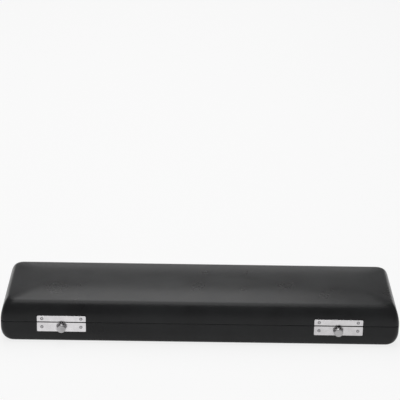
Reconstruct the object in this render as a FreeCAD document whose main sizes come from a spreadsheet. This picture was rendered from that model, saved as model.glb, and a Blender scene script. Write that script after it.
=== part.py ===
"""A hard flute case: a moulded wooden base and lid in leatherette, hinged at the back and
closed by two push-button latches, with a plush block inside for the three joints of a flute.

Millimetres. +Z is up, +X runs along the case, and the latches face -Y. The origin is the
centre of the underside.
"""
import FreeCAD, Part
import math
import os
import Sketcher

doc = FreeCAD.newDocument("FluteCase")
Vector = FreeCAD.Vector

# The driving dimensions, one named value each
SIZES = {
    # outer form
    "case_length": 400,
    "case_width": 108,
    "base_height": 24,
    "lid_height": 23.9,
    "parting_gap": 0.3,
    "corner_radius": 6,
    "crown_corner_radius": 8,
    "rim_chamfer": 0.5,
    "base_round_width": 11.2,
    "base_round_height": 17.3,
    "lid_round_width": 8,
    "lid_round_power": 1.2,
    "lid_crown_rise": 3,
    "lid_crown_width": 35,
    # walls, skins and padding
    "cover_thickness": 0.8,
    "base_wall": 4.2,
    "base_floor": 4,
    "base_inner_chamfer": 6,
    "lid_wall": 3.8,
    "lid_roof": 3.4,
    "lid_inner_chamfer": 8,
    "lid_pad_thickness": 1.6,
    "inner_corner": 11,
    "underside_inset": 17,
    "seam_gap": 0.2,
    # linings and fitted block
    "lining_thickness": 1.5,
    "lip_height": 3.5,
    "lip_clearance": 0.8,
    "lid_lining_thickness": 1.2,
    "block_below_rim": 0.7,
    # places for the three joints of the flute
    "trough_radius": 10.3,
    "trough_axis_depth": 5.5,
    "recess_width": 32,
    "recess_depth": 8,
    "front_row_depth": 28.6,
    "rear_row_depth": 77,
    "body_trough_length": 368,
    "body_recess_length": 296,
    "body_recess_shift": 14,
    "head_trough_length": 228,
    "foot_trough_length": 138,
    "trough_end_margin": 6,
    "lip_recess_length": 48,
    "lip_recess_width": 30,
    "lip_recess_depth": 11,
    "lip_recess_from_end": 46,
    "foot_recess_length": 96,
    "foot_recess_from_end": 8,
    "scoop_radius": 13,
    "scoop_depth": 10,
    "scoop_middle_depth": 53,
    "left_scoop_place": 70,
    "right_scoop_place": 118,
    # latches
    "latch_from_end": 61.3,
    "plate_width": 48.8,
    "plate_corner": 1,
    "plate_thickness": 1.2,
    "latch_plate_height": 9.8,
    "strike_plate_height": 6.8,
    "plate_seam": 0.7,
    "window_clearance": 0.15,
    "lid_window_depth": 1.8,
    "knob_drop": 5,
    "knob_hole_radius": 4.5,
    "knob_radius": 4.6,
    "knob_reach": 4.8,
    "knob_head": 1.9,
    "knob_edge": 0.4,
    "knob_neck_radius": 2.8,
    "knob_neck_end": 0.1,
    # hooked tongue of the strike, and the catch that holds it
    "tongue_width": 8,
    "tongue_thickness": 0.8,
    "tongue_depth": 1.5,
    "tongue_drop": 3.3,
    "tongue_flange_rise": 1,
    "tongue_flange_thickness": 1,
    "hook_length": 1,
    "hook_thickness": 0.9,
    "hook_chamfer": 0.4,
    "tongue_slot_clearance": 0.4,
    "catch_width": 6.4,
    "catch_thickness": 0.8,
    "catch_gap": 0.2,
    "catch_lift": 0.3,
    "catch_lip_thickness": 0.9,
    "catch_chamfer": 0.4,
    "catch_foot_length": 3,
    "catch_running_gap": 0.1,
    "stem_width": 2.8,
    # sheet-metal box behind each latch plate
    "box_width": 18,
    "box_sheet": 0.5,
    "box_drop": 10.6,
    "box_rear_drop": 2.8,
    "box_clearance": 0.1,
    # folded leaf spring behind each catch
    "latch_travel": 1.4,
    "spring_pressed_length": 3.3,
    "spring_width": 5,
    "spring_sheet": 0.3,
    "spring_fold": 0.45,
    "spring_drop": 3.5,
    "spring_height": 4.6,
    "spring_end_gap": 0.1,
    # hinges
    "hinge_from_end": 61.3,
    "hinge_length": 30,
    "hinge_leaf_thickness": 1,
    "hinge_leaf_height": 8,
    "hinge_leaf_start": 2.4,
    "hinge_axis_reach": 1.6,
    "knuckle_radius": 2.1,
    "knuckle_gap": 0.2,
    "hinge_pin_radius": 1,
    "hinge_pin_clearance": 0.03,
    # how far a cutting tool runs past the face that it opens
    "overrun": 2,
}

# How many straight bands make each rounded edge and the crown, and how many knuckles a hinge has
BASE_BANDS = 4
LID_BANDS = 5
CROWN_BANDS = 2
KNUCKLES = 3

sheet = doc.addObject("Spreadsheet::Sheet", "Sizes")
for row, (name, value) in enumerate(SIZES.items(), start=1):
    sheet.set(f"A{row}", name)
    sheet.set(f"B{row}", str(value))
    sheet.setAlias(f"B{row}", name)
doc.recompute()


def bound(expression):
    """The expression with each size's name pointed at the sheet."""
    words = expression
    for name in sorted(SIZES, key=len, reverse=True):
        words = words.replace(name, "<" + str(list(SIZES).index(name)) + ">")
    for index, name in enumerate(SIZES):
        words = words.replace(f"<{index}>", f"Sizes.{name}")
    return words


def number(expression):
    """The value of an expression in the sheet's names."""
    return float(sheet.evalExpression(expression))


def place(obj, x="0", y="0", z="0", turn=None):
    """Put an object at a bound place, turned about an axis if one is given."""
    if turn:
        axis, angle = turn
        obj.Placement = FreeCAD.Placement(Vector(), FreeCAD.Rotation(axis, angle))
    for key, expression in (("x", x), ("y", y), ("z", z)):
        if expression != "0":
            obj.setExpression(f"Placement.Base.{key}", bound(expression))
    return obj


# Places that several pieces share
FRONT = "(-case_width / 2)"
REAR = "(case_width / 2)"
TOTAL_HEIGHT = "(base_height + parting_gap + lid_height)"
LID_BOTTOM = "(base_height + parting_gap)"
BASE_CAVITY_INSET = "(cover_thickness + base_wall)"
LID_CAVITY_INSET = "(cover_thickness + lid_wall)"
FLOOR_TOP = "(cover_thickness + base_floor)"
BLOCK_TOP = "(base_height - block_below_rim)"
PAD_SEAT = f"({TOTAL_HEIGHT} - cover_thickness - lid_pad_thickness)"
ROOF_UNDER = f"({PAD_SEAT} - lid_roof)"
HINGE_AXIS_Y = "(case_width / 2 + hinge_axis_reach)"
HINGE_AXIS_Z = "(base_height + parting_gap / 2)"
LATCH_X = "(case_length / 2 - latch_from_end)"
HINGE_X = "(case_length / 2 - hinge_from_end)"
STRIKE_BOTTOM = "(base_height + plate_seam)"
BOX_FRONT_DEPTH = "(cover_thickness + base_wall + lining_thickness)"
TONGUE_BACK = "(tongue_depth + tongue_thickness)"
HOOK_TIP = f"({TONGUE_BACK} + hook_length)"
CATCH_FACE = f"({HOOK_TIP} + hook_chamfer)"
CATCH_BACK = f"({CATCH_FACE} + catch_thickness)"
BOX_REAR_DEPTH = f"({CATCH_BACK} + latch_travel + spring_pressed_length + box_sheet)"
ALONG_X = (Vector(0, 1, 0), 90)


def plane_of(body, role):
    """One of the body's own origin planes."""
    return [f for f in body.Origin.OriginFeatures if f.Role == role][0]


def new_sketch(body, name, role, offset=("0", "0", "0")):
    """An empty sketch on an origin plane, moved by bound distances in the sketch's own axes."""
    sketch = body.newObject("Sketcher::SketchObject", name)
    sketch.AttachmentSupport = [(plane_of(body, role), "")]
    sketch.MapMode = "FlatFace"
    for key, expression in zip("xyz", offset):
        if expression != "0":
            sketch.setExpression(f"AttachmentOffset.Base.{key}", bound(expression))
    return sketch


def datum(sketch, kind, where, expression):
    """A dimension bound to the sheet."""
    index = sketch.addConstraint(Sketcher.Constraint(kind, *where, number(expression)))
    sketch.setExpression(f"Constraints[{index}]", bound(expression))


def rounded_rectangle(body, name, role, length, width, radius, offset=("0", "0", "0")):
    """A rectangle with round corners about the sketch's origin."""
    sketch = new_sketch(body, name, role, offset)
    a, b, r = number(length) / 2, number(width) / 2, number(radius)
    corners = ((a - r, -b + r, -90), (a - r, b - r, 0), (-a + r, b - r, 90), (-a + r, -b + r, 180))
    sides = (((-a + r, -b), (a - r, -b)), ((a, -b + r), (a, b - r)),
             ((a - r, b), (-a + r, b)), ((-a, b - r), (-a, -b + r)))
    for (start, end), (x, y, angle) in zip(sides, corners):
        sketch.addGeometry(Part.LineSegment(Vector(*start, 0), Vector(*end, 0)), False)
        circle = Part.Circle(Vector(x, y, 0), Vector(0, 0, 1), r)
        quarter = Part.ArcOfCircle(circle, math.radians(angle), math.radians(angle + 90))
        sketch.addGeometry(quarter, False)
    for index in range(8):
        sketch.addConstraint(Sketcher.Constraint("Tangent", index, 2, (index + 1) % 8, 1))
    sketch.addConstraint(Sketcher.Constraint("Horizontal", 4))
    sketch.addConstraint(Sketcher.Constraint("Vertical", 6))
    for index in (3, 5, 7):
        sketch.addConstraint(Sketcher.Constraint("Equal", 1, index))
    sketch.addConstraint(Sketcher.Constraint("Symmetric", 0, 1, 0, 2, -2))
    sketch.addConstraint(Sketcher.Constraint("Symmetric", 2, 1, 2, 2, -1))
    datum(sketch, "Radius", (1,), radius)
    datum(sketch, "DistanceX", (6, 1, 2, 1), length)
    datum(sketch, "DistanceY", (0, 1, 4, 1), width)
    return sketch


def outline(body, name, role, points, offset=("0", "0", "0")):
    """A closed outline of straight edges, each corner dimensioned from the sketch's origin."""
    sketch = new_sketch(body, name, role, offset)
    spots = [Vector(number(x), number(y), 0) for x, y in points]
    for index, spot in enumerate(spots):
        sketch.addGeometry(Part.LineSegment(spot, spots[(index + 1) % len(spots)]), False)
    for index, (x, y) in enumerate(points):
        after = (index + 1) % len(points)
        sketch.addConstraint(Sketcher.Constraint("Coincident", index, 2, after, 1))
        for kind, axis, expression in (("DistanceX", -2, x), ("DistanceY", -1, y)):
            if expression == "0":
                sketch.addConstraint(Sketcher.Constraint("PointOnObject", index, 1, axis))
            else:
                datum(sketch, kind, (-1, 1, index, 1), expression)
    return sketch


def circle(body, name, role, radius, offset=("0", "0", "0")):
    """A circle about the sketch's origin."""
    sketch = new_sketch(body, name, role, offset)
    sketch.addGeometry(Part.Circle(Vector(), Vector(0, 0, 1), number(radius)), False)
    sketch.addConstraint(Sketcher.Constraint("Coincident", 0, 3, -1, 1))
    datum(sketch, "Radius", (0,), radius)
    return sketch


def new_body(name):
    return doc.addObject("PartDesign::Body", name)


def pad(body, name, sketch, length, midplane=False, reverse=False):
    """A pad of bound length."""
    feature = body.newObject("PartDesign::Pad", name)
    feature.Profile = sketch
    feature.Midplane = midplane
    feature.Reversed = reverse
    feature.setExpression("Length", bound(length))
    doc.recompute()
    return feature


def pocket(body, name, sketch, length, midplane=False, reverse=False):
    """A pocket of bound length that has to take material away."""
    before = body.Shape.Volume
    feature = body.newObject("PartDesign::Pocket", name)
    feature.Profile = sketch
    feature.Midplane = midplane
    feature.Reversed = reverse
    feature.setExpression("Length", bound(length))
    doc.recompute()
    if body.Shape.Volume >= before:
        raise ValueError(f"{name} takes nothing away")
    return feature


def edges_at(shape, level):
    """The names of the edges that lie flat at a height."""
    names = []
    for index, edge in enumerate(shape.Edges, start=1):
        heights = [vertex.Z for vertex in edge.Vertexes] + [edge.CenterOfMass.z]
        if all(abs(height - level) < Part.Precision.approximation() for height in heights):
            names.append(f"Edge{index}")
    return names


def chamfer(body, name, base, edges, size):
    feature = body.newObject("PartDesign::Chamfer", name)
    feature.Base = (base, edges)
    feature.setExpression("Size", bound(size))
    doc.recompute()
    return feature


def box(name, x, y, z):
    """A box between bound faces, each axis given as its low and its high face."""
    solid = doc.addObject("Part::Box", name)
    for key, (low, high) in (("Length", x), ("Width", y), ("Height", z)):
        solid.setExpression(key, bound(f"({high}) - ({low})"))
    return place(solid, x[0], y[0], z[0])


def cylinder(name, radius, length, x, y, z, turn=None):
    solid = doc.addObject("Part::Cylinder", name)
    solid.setExpression("Radius", bound(radius))
    solid.setExpression("Height", bound(length))
    return place(solid, x, y, z, turn)


def fuse(name, pieces):
    result = doc.addObject("Part::MultiFuse", name)
    result.Shapes = pieces
    return result


def cut(name, blank, tools):
    """The blank less its tools."""
    result = doc.addObject("Part::Cut", name)
    result.Base = blank
    result.Tool = tools[0] if len(tools) == 1 else fuse(name + "_tools", tools)
    return result


nodes = []


def keep(label, obj):
    """Name a finished piece, and list it for export."""
    obj.Label = label
    nodes.append(obj)
    return obj


# The outer forms: straight-edged bands between rounded rectangles
def level_sketch(body, name, inset, radius, height):
    return rounded_rectangle(body, name, "XY_Plane", f"case_length - 2 * ({inset})",
                             f"case_width - 2 * ({inset})", radius, ("0", "0", height))


def banded_loft(name, levels):
    """A body lofted through levels, each given as its inset, corner radius and height."""
    body = new_body(name)
    sections = [level_sketch(body, f"{name}_level{index}", *level) for index, level in enumerate(levels)]
    loft = body.newObject("PartDesign::AdditiveLoft", name + "_loft")
    loft.Profile = sections[0]
    loft.Sections = sections[1:]
    loft.Ruled = True
    return body


def base_form(name, skin, rim):
    """The outside of the base, moved in by a skin; rim softens its top edge."""
    levels = []
    for band in range(BASE_BANDS + 1):
        turn = f"({band} / {BASE_BANDS} * 90 deg)"
        inset = f"{skin} + (base_round_width - {skin}) * (1 - sin{turn})"
        height = f"{skin} + (base_round_height - {skin}) * (1 - cos{turn})"
        levels.append((inset, f"corner_radius - {skin} * sin{turn}", height))
    top = f"base_height - {skin}"
    if rim:
        levels.append((skin, f"corner_radius - {skin}", f"{top} - rim_chamfer"))
        levels.append((f"{skin} + rim_chamfer", f"corner_radius - {skin} - rim_chamfer", top))
    else:
        levels.append((skin, f"corner_radius - {skin}", top))
    return banded_loft(name, levels)


def lid_form(name, skin, rim):
    """The outside of the lid, moved in by a skin: a soft round edge that runs into a long crown."""
    start = f"({LID_BOTTOM} + rim_chamfer)"
    rise = f"(lid_height - lid_crown_rise - rim_chamfer - {skin})"
    levels = []
    if rim:
        levels.append((f"{skin} + rim_chamfer", f"corner_radius - {skin} - rim_chamfer", LID_BOTTOM))
        levels.append((skin, f"corner_radius - {skin}", start))
    else:
        levels.append((skin, f"corner_radius - {skin}", f"{LID_BOTTOM} + {skin}"))
    for band in range(1, LID_BANDS + 1):
        turn = f"({band} / {LID_BANDS} * 90 deg)"
        across = f"abs(cos{turn}) ^ lid_round_power"
        inset = f"{skin} + (lid_round_width - {skin}) * (1 - {across})"
        radius = f"crown_corner_radius - (crown_corner_radius - corner_radius + {skin}) * {across}"
        levels.append((inset, radius, f"{start} + {rise} * sin{turn} ^ lid_round_power"))
    for band in range(1, CROWN_BANDS + 1):
        share = f"({band} / {CROWN_BANDS})"
        levels.append((f"lid_round_width + lid_crown_width * {share}", "crown_corner_radius",
                       f"{start} + {rise} + lid_crown_rise * {share} * (2 - {share})"))
    return banded_loft(name, levels)


def cavity_form(name, inset, low, high, slope_at, slope):
    """A straight-sided hollow with its floor or its roof sloped into the walls."""
    body = new_body(name)
    sketch = level_sketch(body, name + "_plan", inset, "inner_corner", low)
    blank = pad(body, name + "_pad", sketch, f"({high}) - ({low})")
    edges = edges_at(blank.Shape, number(slope_at))
    chamfer(body, name + "_slope", blank, edges, slope)
    return body


base_outside = base_form("BaseOutside", "0", True)
base_wood = base_form("BaseWood", "cover_thickness", False)
lid_outside = lid_form("LidOutside", "0", True)
lid_wood = lid_form("LidWood", "cover_thickness", False)
base_cavity = cavity_form("BaseCavity", BASE_CAVITY_INSET, FLOOR_TOP, "base_height + overrun",
                          FLOOR_TOP, "base_inner_chamfer")
lid_cavity = cavity_form("LidCavity", LID_CAVITY_INSET, f"{LID_BOTTOM} - overrun", ROOF_UNDER,
                         ROOF_UNDER, "lid_inner_chamfer")

SIDES = (("left", -1), ("right", 1))
LEAF_PROUD = "hinge_leaf_thickness - cover_thickness"


# Openings that the fittings need in the skins, the walls and the block
def plate_window(name, sign, depth, low, high):
    """The opening in a skin round a front plate."""
    middle = f"{sign} * {LATCH_X}"
    half = "(plate_width / 2 + window_clearance)"
    return box(name, (f"{middle} - {half}", f"{middle} + {half}"),
               (f"{FRONT} - overrun", f"{FRONT} + {depth}"), (low, high))


def leaf_window(name, sign, depth, low, high):
    """The opening in a skin round a hinge leaf and its knuckles."""
    middle = f"{sign} * {HINGE_X}"
    half = "(hinge_length / 2 + window_clearance)"
    return box(name, (f"{middle} - {half}", f"{middle} + {half}"),
               (f"{REAR} - {depth}", f"{REAR} + overrun"), (low, high))


def box_mortise(name, sign, depth, low_drop, high_drop):
    """The hollow that a latch box fits in, from the wood's face to a depth."""
    middle = f"{sign} * {LATCH_X}"
    half = "(box_width / 2 + box_clearance)"
    return box(name, (f"{middle} - {half}", f"{middle} + {half}"),
               (f"{FRONT} + cover_thickness", f"{FRONT} + {depth} + box_clearance"),
               (f"base_height - {low_drop} - box_clearance", f"base_height - ({high_drop})"))


def tongue_notch(name, sign):
    """The hollow in the lid's rim round a strike's flange and tongue."""
    middle = f"{sign} * {LATCH_X}"
    half = "(tongue_width / 2 + box_clearance)"
    rise = "tongue_flange_rise + tongue_flange_thickness + box_clearance"
    return box(name, (f"{middle} - {half}", f"{middle} + {half}"),
               (f"{FRONT} + cover_thickness",
                f"{FRONT} + tongue_depth + tongue_thickness + box_clearance"),
               (f"{LID_BOTTOM} - overrun", f"{LID_BOTTOM} + {rise}"))


mortises = []
base_windows = []
lid_windows = []
tongue_notches = []
for side, sign in SIDES:
    mortises.append(box_mortise(f"FrontMortise_{side}", sign, f"{BOX_FRONT_DEPTH} - box_clearance",
                                "box_drop", "0"))
    mortises.append(box_mortise(f"RearMortise_{side}", sign, BOX_REAR_DEPTH,
                                "box_drop", "box_rear_drop - box_clearance"))
    low = "base_height - latch_plate_height - window_clearance"
    base_windows.append(plate_window(f"LatchWindow_{side}", sign, "cover_thickness",
                                     low, "base_height + overrun"))
    base_windows.append(leaf_window(f"BaseLeafWindow_{side}", sign, "cover_thickness",
                                    f"{HINGE_AXIS_Z} - hinge_leaf_height - window_clearance",
                                    "base_height + overrun"))
    high = f"{STRIKE_BOTTOM} + strike_plate_height + window_clearance"
    lid_windows.append(plate_window(f"StrikeWindow_{side}", sign, "lid_window_depth",
                                    f"{LID_BOTTOM} - overrun", high))
    lid_windows.append(leaf_window(f"LidLeafWindow_{side}", sign, "lid_window_depth",
                                   f"{LID_BOTTOM} - overrun",
                                   f"{HINGE_AXIS_Z} + hinge_leaf_height + window_clearance"))
    tongue_notches.append(tongue_notch(f"TongueNotch_{side}", sign))

# Base: wooden shell, leatherette skin and underside sheet
underside = new_body("Underside")
underside_plan = rounded_rectangle(
    underside, "Underside_plan", "XY_Plane", "case_length - 2 * underside_inset",
    "case_width - 2 * underside_inset", "corner_radius")
pad(underside, "Underside_pad", underside_plan, "cover_thickness")
underside_window = new_body("UndersideWindow")
underside_window_plan = rounded_rectangle(
    underside_window, "UndersideWindow_plan", "XY_Plane",
    "case_length - 2 * underside_inset + 2 * seam_gap",
    "case_width - 2 * underside_inset + 2 * seam_gap", "corner_radius + seam_gap")
pad(underside_window, "UndersideWindow_pad", underside_window_plan, "cover_thickness")

keep("base_shell", cut("BaseShell", base_wood, [base_cavity] + mortises))
keep("base_cover", cut("BaseCover", base_outside,
                       [base_wood, base_cavity, underside_window] + mortises + base_windows))
keep("base_underside", underside)

# Lining wall: stands proud of the rim and locates the lid
LINING_FOOT = f"({FLOOR_TOP} + base_inner_chamfer)"
lining_wall = new_body("LiningWall")
lining_outer = level_sketch(lining_wall, "LiningWall_outer", BASE_CAVITY_INSET, "inner_corner",
                            LINING_FOOT)
pad(lining_wall, "LiningWall_pad", lining_outer, f"base_height + lip_height - {LINING_FOOT}")
lining_inner = level_sketch(lining_wall, "LiningWall_inner", f"{BASE_CAVITY_INSET} + lining_thickness",
                            "inner_corner - lining_thickness", LINING_FOOT)
pocket(lining_wall, "LiningWall_pocket", lining_inner, f"base_height + lip_height - {LINING_FOOT}",
       reverse=True)
keep("base_lining", cut("BaseLining", lining_wall, mortises))

# Fitted block: foam under plush, hollowed for the flute's joints
FRONT_ROW = f"({FRONT} + front_row_depth)"
REAR_ROW = f"({FRONT} + rear_row_depth)"
TROUGH_AXIS = f"({BLOCK_TOP} - trough_axis_depth)"
ABOVE_BLOCK = f"({BLOCK_TOP} + overrun)"
ROW_END = f"(case_length / 2 - {BASE_CAVITY_INSET} - lining_thickness - trough_end_margin)"


def trough(name, start, length, row):
    """A round-bottomed channel for a tube."""
    end = f"{start} + {length}"
    return [cylinder(name + "_round", "trough_radius", length, start, row, TROUGH_AXIS, ALONG_X),
            box(name + "_walls", (start, end), (f"{row} - trough_radius", f"{row} + trough_radius"),
                (TROUGH_AXIS, ABOVE_BLOCK))]


def recess(name, start, length, row, width, depth):
    """A flat-bottomed place for keys or for the lip plate."""
    return [box(name, (start, f"{start} + {length}"), (f"{row} - {width} / 2", f"{row} + {width} / 2"),
                (f"{BLOCK_TOP} - {depth}", ABOVE_BLOCK))]


def scoop(name, x):
    """A round place for the fingers, between the two rows."""
    return [cylinder(name, "scoop_radius", "scoop_depth + overrun", x,
                     f"{FRONT} + scoop_middle_depth", f"{BLOCK_TOP} - scoop_depth")]


head_start = f"(-{ROW_END})"
foot_start = f"({ROW_END} - foot_trough_length)"
body_start = "(-body_trough_length / 2)"
body_keys_start = "(-body_recess_length / 2 + body_recess_shift)"
lip_start = f"({head_start} + lip_recess_from_end)"
foot_keys_start = f"({ROW_END} - foot_recess_from_end - foot_recess_length)"
hollows = (
    trough("HeadTrough", head_start, "head_trough_length", FRONT_ROW)
    + trough("FootTrough", foot_start, "foot_trough_length", FRONT_ROW)
    + trough("BodyTrough", body_start, "body_trough_length", REAR_ROW)
    + recess("BodyKeys", body_keys_start, "body_recess_length", REAR_ROW, "recess_width", "recess_depth")
    + recess("LipPlate", lip_start, "lip_recess_length", FRONT_ROW, "lip_recess_width", "lip_recess_depth")
    + recess("FootKeys", foot_keys_start, "foot_recess_length", FRONT_ROW, "recess_width", "recess_depth")
    + scoop("LeftScoop", "-left_scoop_place")
    + scoop("RightScoop", "right_scoop_place")
)
block_blank = cavity_form("BlockBlank", BASE_CAVITY_INSET, FLOOR_TOP, BLOCK_TOP, FLOOR_TOP,
                          "base_inner_chamfer")
keep("insert_block", cut("InsertBlock", block_blank, [lining_wall] + mortises + hollows))

# Lid: wooden shell, crowned pad on its flat top, leatherette skin and lining
above_pad_seat = box("AbovePadSeat", ("-case_length / 2", "case_length / 2"), (FRONT, REAR),
                     (PAD_SEAT, f"{TOTAL_HEIGHT} + overrun"))
keep("lid_shell", cut("LidShell", lid_wood,
                      [lid_cavity, above_pad_seat] + tongue_notches))
lid_pad = doc.addObject("Part::Common", "LidPad")
lid_pad.Base = lid_wood
lid_pad.Tool = above_pad_seat
keep("lid_pad", lid_pad)
keep("lid_cover", cut("LidCover", lid_outside,
                      [lid_wood, lid_cavity] + tongue_notches + lid_windows))

LID_LINING_EDGE = "(base_height + lip_height + lip_clearance)"
lid_lining_blank = cavity_form("LidLiningBlank", LID_CAVITY_INSET, LID_LINING_EDGE, ROOF_UNDER,
                               ROOF_UNDER, "lid_inner_chamfer")
lid_lining_hollow = new_body("LidLiningHollow")
hollow_plan = level_sketch(lid_lining_hollow, "LidLiningHollow_plan",
                           f"{LID_CAVITY_INSET} + lid_lining_thickness",
                           "inner_corner - lid_lining_thickness", f"{LID_LINING_EDGE} - overrun")
hollow_pad = pad(lid_lining_hollow, "LidLiningHollow_pad", hollow_plan,
                 f"{ROOF_UNDER} - lid_lining_thickness - {LID_LINING_EDGE} + overrun")
chamfer(lid_lining_hollow, "LidLiningHollow_slope", hollow_pad,
        edges_at(hollow_pad.Shape, number(f"{ROOF_UNDER} - lid_lining_thickness")),
        "lid_inner_chamfer - lid_lining_thickness")
keep("lid_lining", cut("LidLining", lid_lining_blank, [lid_lining_hollow]))


# Latches: depths run inwards from the front wall, heights down or up from the base's rim
def at_depth(depth):
    return f"(-case_width / 2 + ({depth}))"


def at_drop(drop):
    return f"(base_height - ({drop}))"


PLATE_OUT = "case_width / 2 - cover_thickness"
CATCH_TIP = f"({TONGUE_BACK} + catch_gap)"
HOOK_TOP_DROP = "(tongue_drop - hook_thickness)"
CATCH_LIP_UNDER_DROP = f"({HOOK_TOP_DROP} - catch_lift)"
CATCH_TOP_DROP = f"({CATCH_LIP_UNDER_DROP} - catch_lip_thickness)"
CATCH_FOOT_DROP = "(box_drop - box_sheet - catch_running_gap)"


def centred(body, sign, offset=LATCH_X):
    """Move a body that is drawn about X zero to its own side."""
    return place(body, x=f"{sign} * {offset}")


def latch_plate(side, sign):
    """The lower front plate, flush with the base's rim, with a round hole for the knob."""
    body = new_body(f"LatchPlate_{side}")
    middle = "base_height - latch_plate_height / 2"
    face = rounded_rectangle(body, f"LatchPlate_{side}_face", "XZ_Plane", "plate_width",
                             "latch_plate_height", "plate_corner", ("0", middle, PLATE_OUT))
    pad(body, f"LatchPlate_{side}_pad", face, "plate_thickness")
    hole = circle(body, f"LatchPlate_{side}_hole", "XZ_Plane", "knob_hole_radius",
                  ("0", "base_height - knob_drop", PLATE_OUT))
    pocket(body, f"LatchPlate_{side}_hole_cut", hole, "plate_thickness", reverse=True)
    return centred(body, sign)


def strike_plate(side, sign):
    """The upper front plate, with a hooked tongue that reaches down into the base."""
    body = new_body(f"StrikePlate_{side}")
    middle = f"{STRIKE_BOTTOM} + strike_plate_height / 2"
    face = rounded_rectangle(body, f"StrikePlate_{side}_face", "XZ_Plane", "plate_width",
                             "strike_plate_height", "plate_corner", ("0", middle, PLATE_OUT))
    pad(body, f"StrikePlate_{side}_pad", face, "plate_thickness")
    flange_under = f"({LID_BOTTOM} + tongue_flange_rise)"
    flange_top = f"({flange_under} + tongue_flange_thickness)"
    profile = outline(body, f"StrikePlate_{side}_hook", "YZ_Plane", [
        (at_depth("cover_thickness - plate_thickness / 2"), flange_under),
        (at_depth("tongue_depth"), flange_under),
        (at_depth("tongue_depth"), at_drop("tongue_drop")),
        (at_depth(f"{HOOK_TIP} - hook_chamfer"), at_drop("tongue_drop")),
        (at_depth(HOOK_TIP), at_drop("tongue_drop - hook_chamfer")),
        (at_depth(HOOK_TIP), at_drop(HOOK_TOP_DROP)),
        (at_depth(TONGUE_BACK), at_drop(HOOK_TOP_DROP)),
        (at_depth(TONGUE_BACK), flange_top),
        (at_depth("cover_thickness - plate_thickness / 2"), flange_top),
    ])
    pad(body, f"StrikePlate_{side}_hook_pad", profile, "tongue_width", midplane=True)
    return centred(body, sign)


def latch_box(side, sign):
    """The bent-sheet box behind a latch plate: open at the front, stepped down at the back."""
    body = new_body(f"LatchBox_{side}")
    step_depth = BOX_FRONT_DEPTH
    outside = outline(body, f"LatchBox_{side}_outside", "YZ_Plane", [
        (at_depth("cover_thickness"), at_drop("box_drop")),
        (at_depth(BOX_REAR_DEPTH), at_drop("box_drop")),
        (at_depth(BOX_REAR_DEPTH), at_drop("box_rear_drop")),
        (at_depth(step_depth), at_drop("box_rear_drop")),
        (at_depth(step_depth), "base_height"),
        (at_depth("cover_thickness"), "base_height"),
    ])
    pad(body, f"LatchBox_{side}_pad", outside, "box_width", midplane=True)
    inside = outline(body, f"LatchBox_{side}_inside", "YZ_Plane", [
        (at_depth("cover_thickness - overrun"), at_drop("box_drop - box_sheet")),
        (at_depth(f"{BOX_REAR_DEPTH} - box_sheet"), at_drop("box_drop - box_sheet")),
        (at_depth(f"{BOX_REAR_DEPTH} - box_sheet"), at_drop("box_rear_drop + box_sheet")),
        (at_depth(f"{step_depth} - box_sheet"), at_drop("box_rear_drop + box_sheet")),
        (at_depth(f"{step_depth} - box_sheet"), at_drop("box_sheet")),
        (at_depth("cover_thickness - overrun"), at_drop("box_sheet")),
    ])
    pocket(body, f"LatchBox_{side}_pocket", inside, "box_width - 2 * box_sheet", midplane=True)
    slot_half = "tongue_width / 2 + tongue_slot_clearance"
    slot_front = at_depth("tongue_depth - tongue_slot_clearance")
    slot_back = at_depth(f"{HOOK_TIP} + tongue_slot_clearance")
    slot = outline(body, f"LatchBox_{side}_slot", "XY_Plane", [
        (f"-({slot_half})", slot_front), (slot_half, slot_front),
        (slot_half, slot_back), (f"-({slot_half})", slot_back),
    ], ("0", "0", "base_height"))
    pocket(body, f"LatchBox_{side}_slot_cut", slot, "box_sheet")
    return centred(body, sign)


def latch_knob(side, sign):
    """The round push knob, turned: a flat face with a soft rim, on a narrower neck."""
    body = new_body(f"LatchKnob_{side}")
    face = "(cover_thickness - plate_thickness - knob_reach)"
    profile = outline(body, f"LatchKnob_{side}_profile", "XY_Plane", [
        ("0", at_depth(face)),
        ("knob_radius - knob_edge", at_depth(face)),
        ("knob_radius", at_depth(f"{face} + knob_edge")),
        ("knob_radius", at_depth(f"{face} + knob_head")),
        ("knob_neck_radius", at_depth(f"{face} + knob_head")),
        ("knob_neck_radius", at_depth("-knob_neck_end")),
        ("0", at_depth("-knob_neck_end")),
    ])
    turned = body.newObject("PartDesign::Revolution", f"LatchKnob_{side}_turned")
    turned.Profile = profile
    turned.ReferenceAxis = (profile, ["V_Axis"])
    return place(body, x=f"{sign} * {LATCH_X}", z="base_height - knob_drop")


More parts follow.
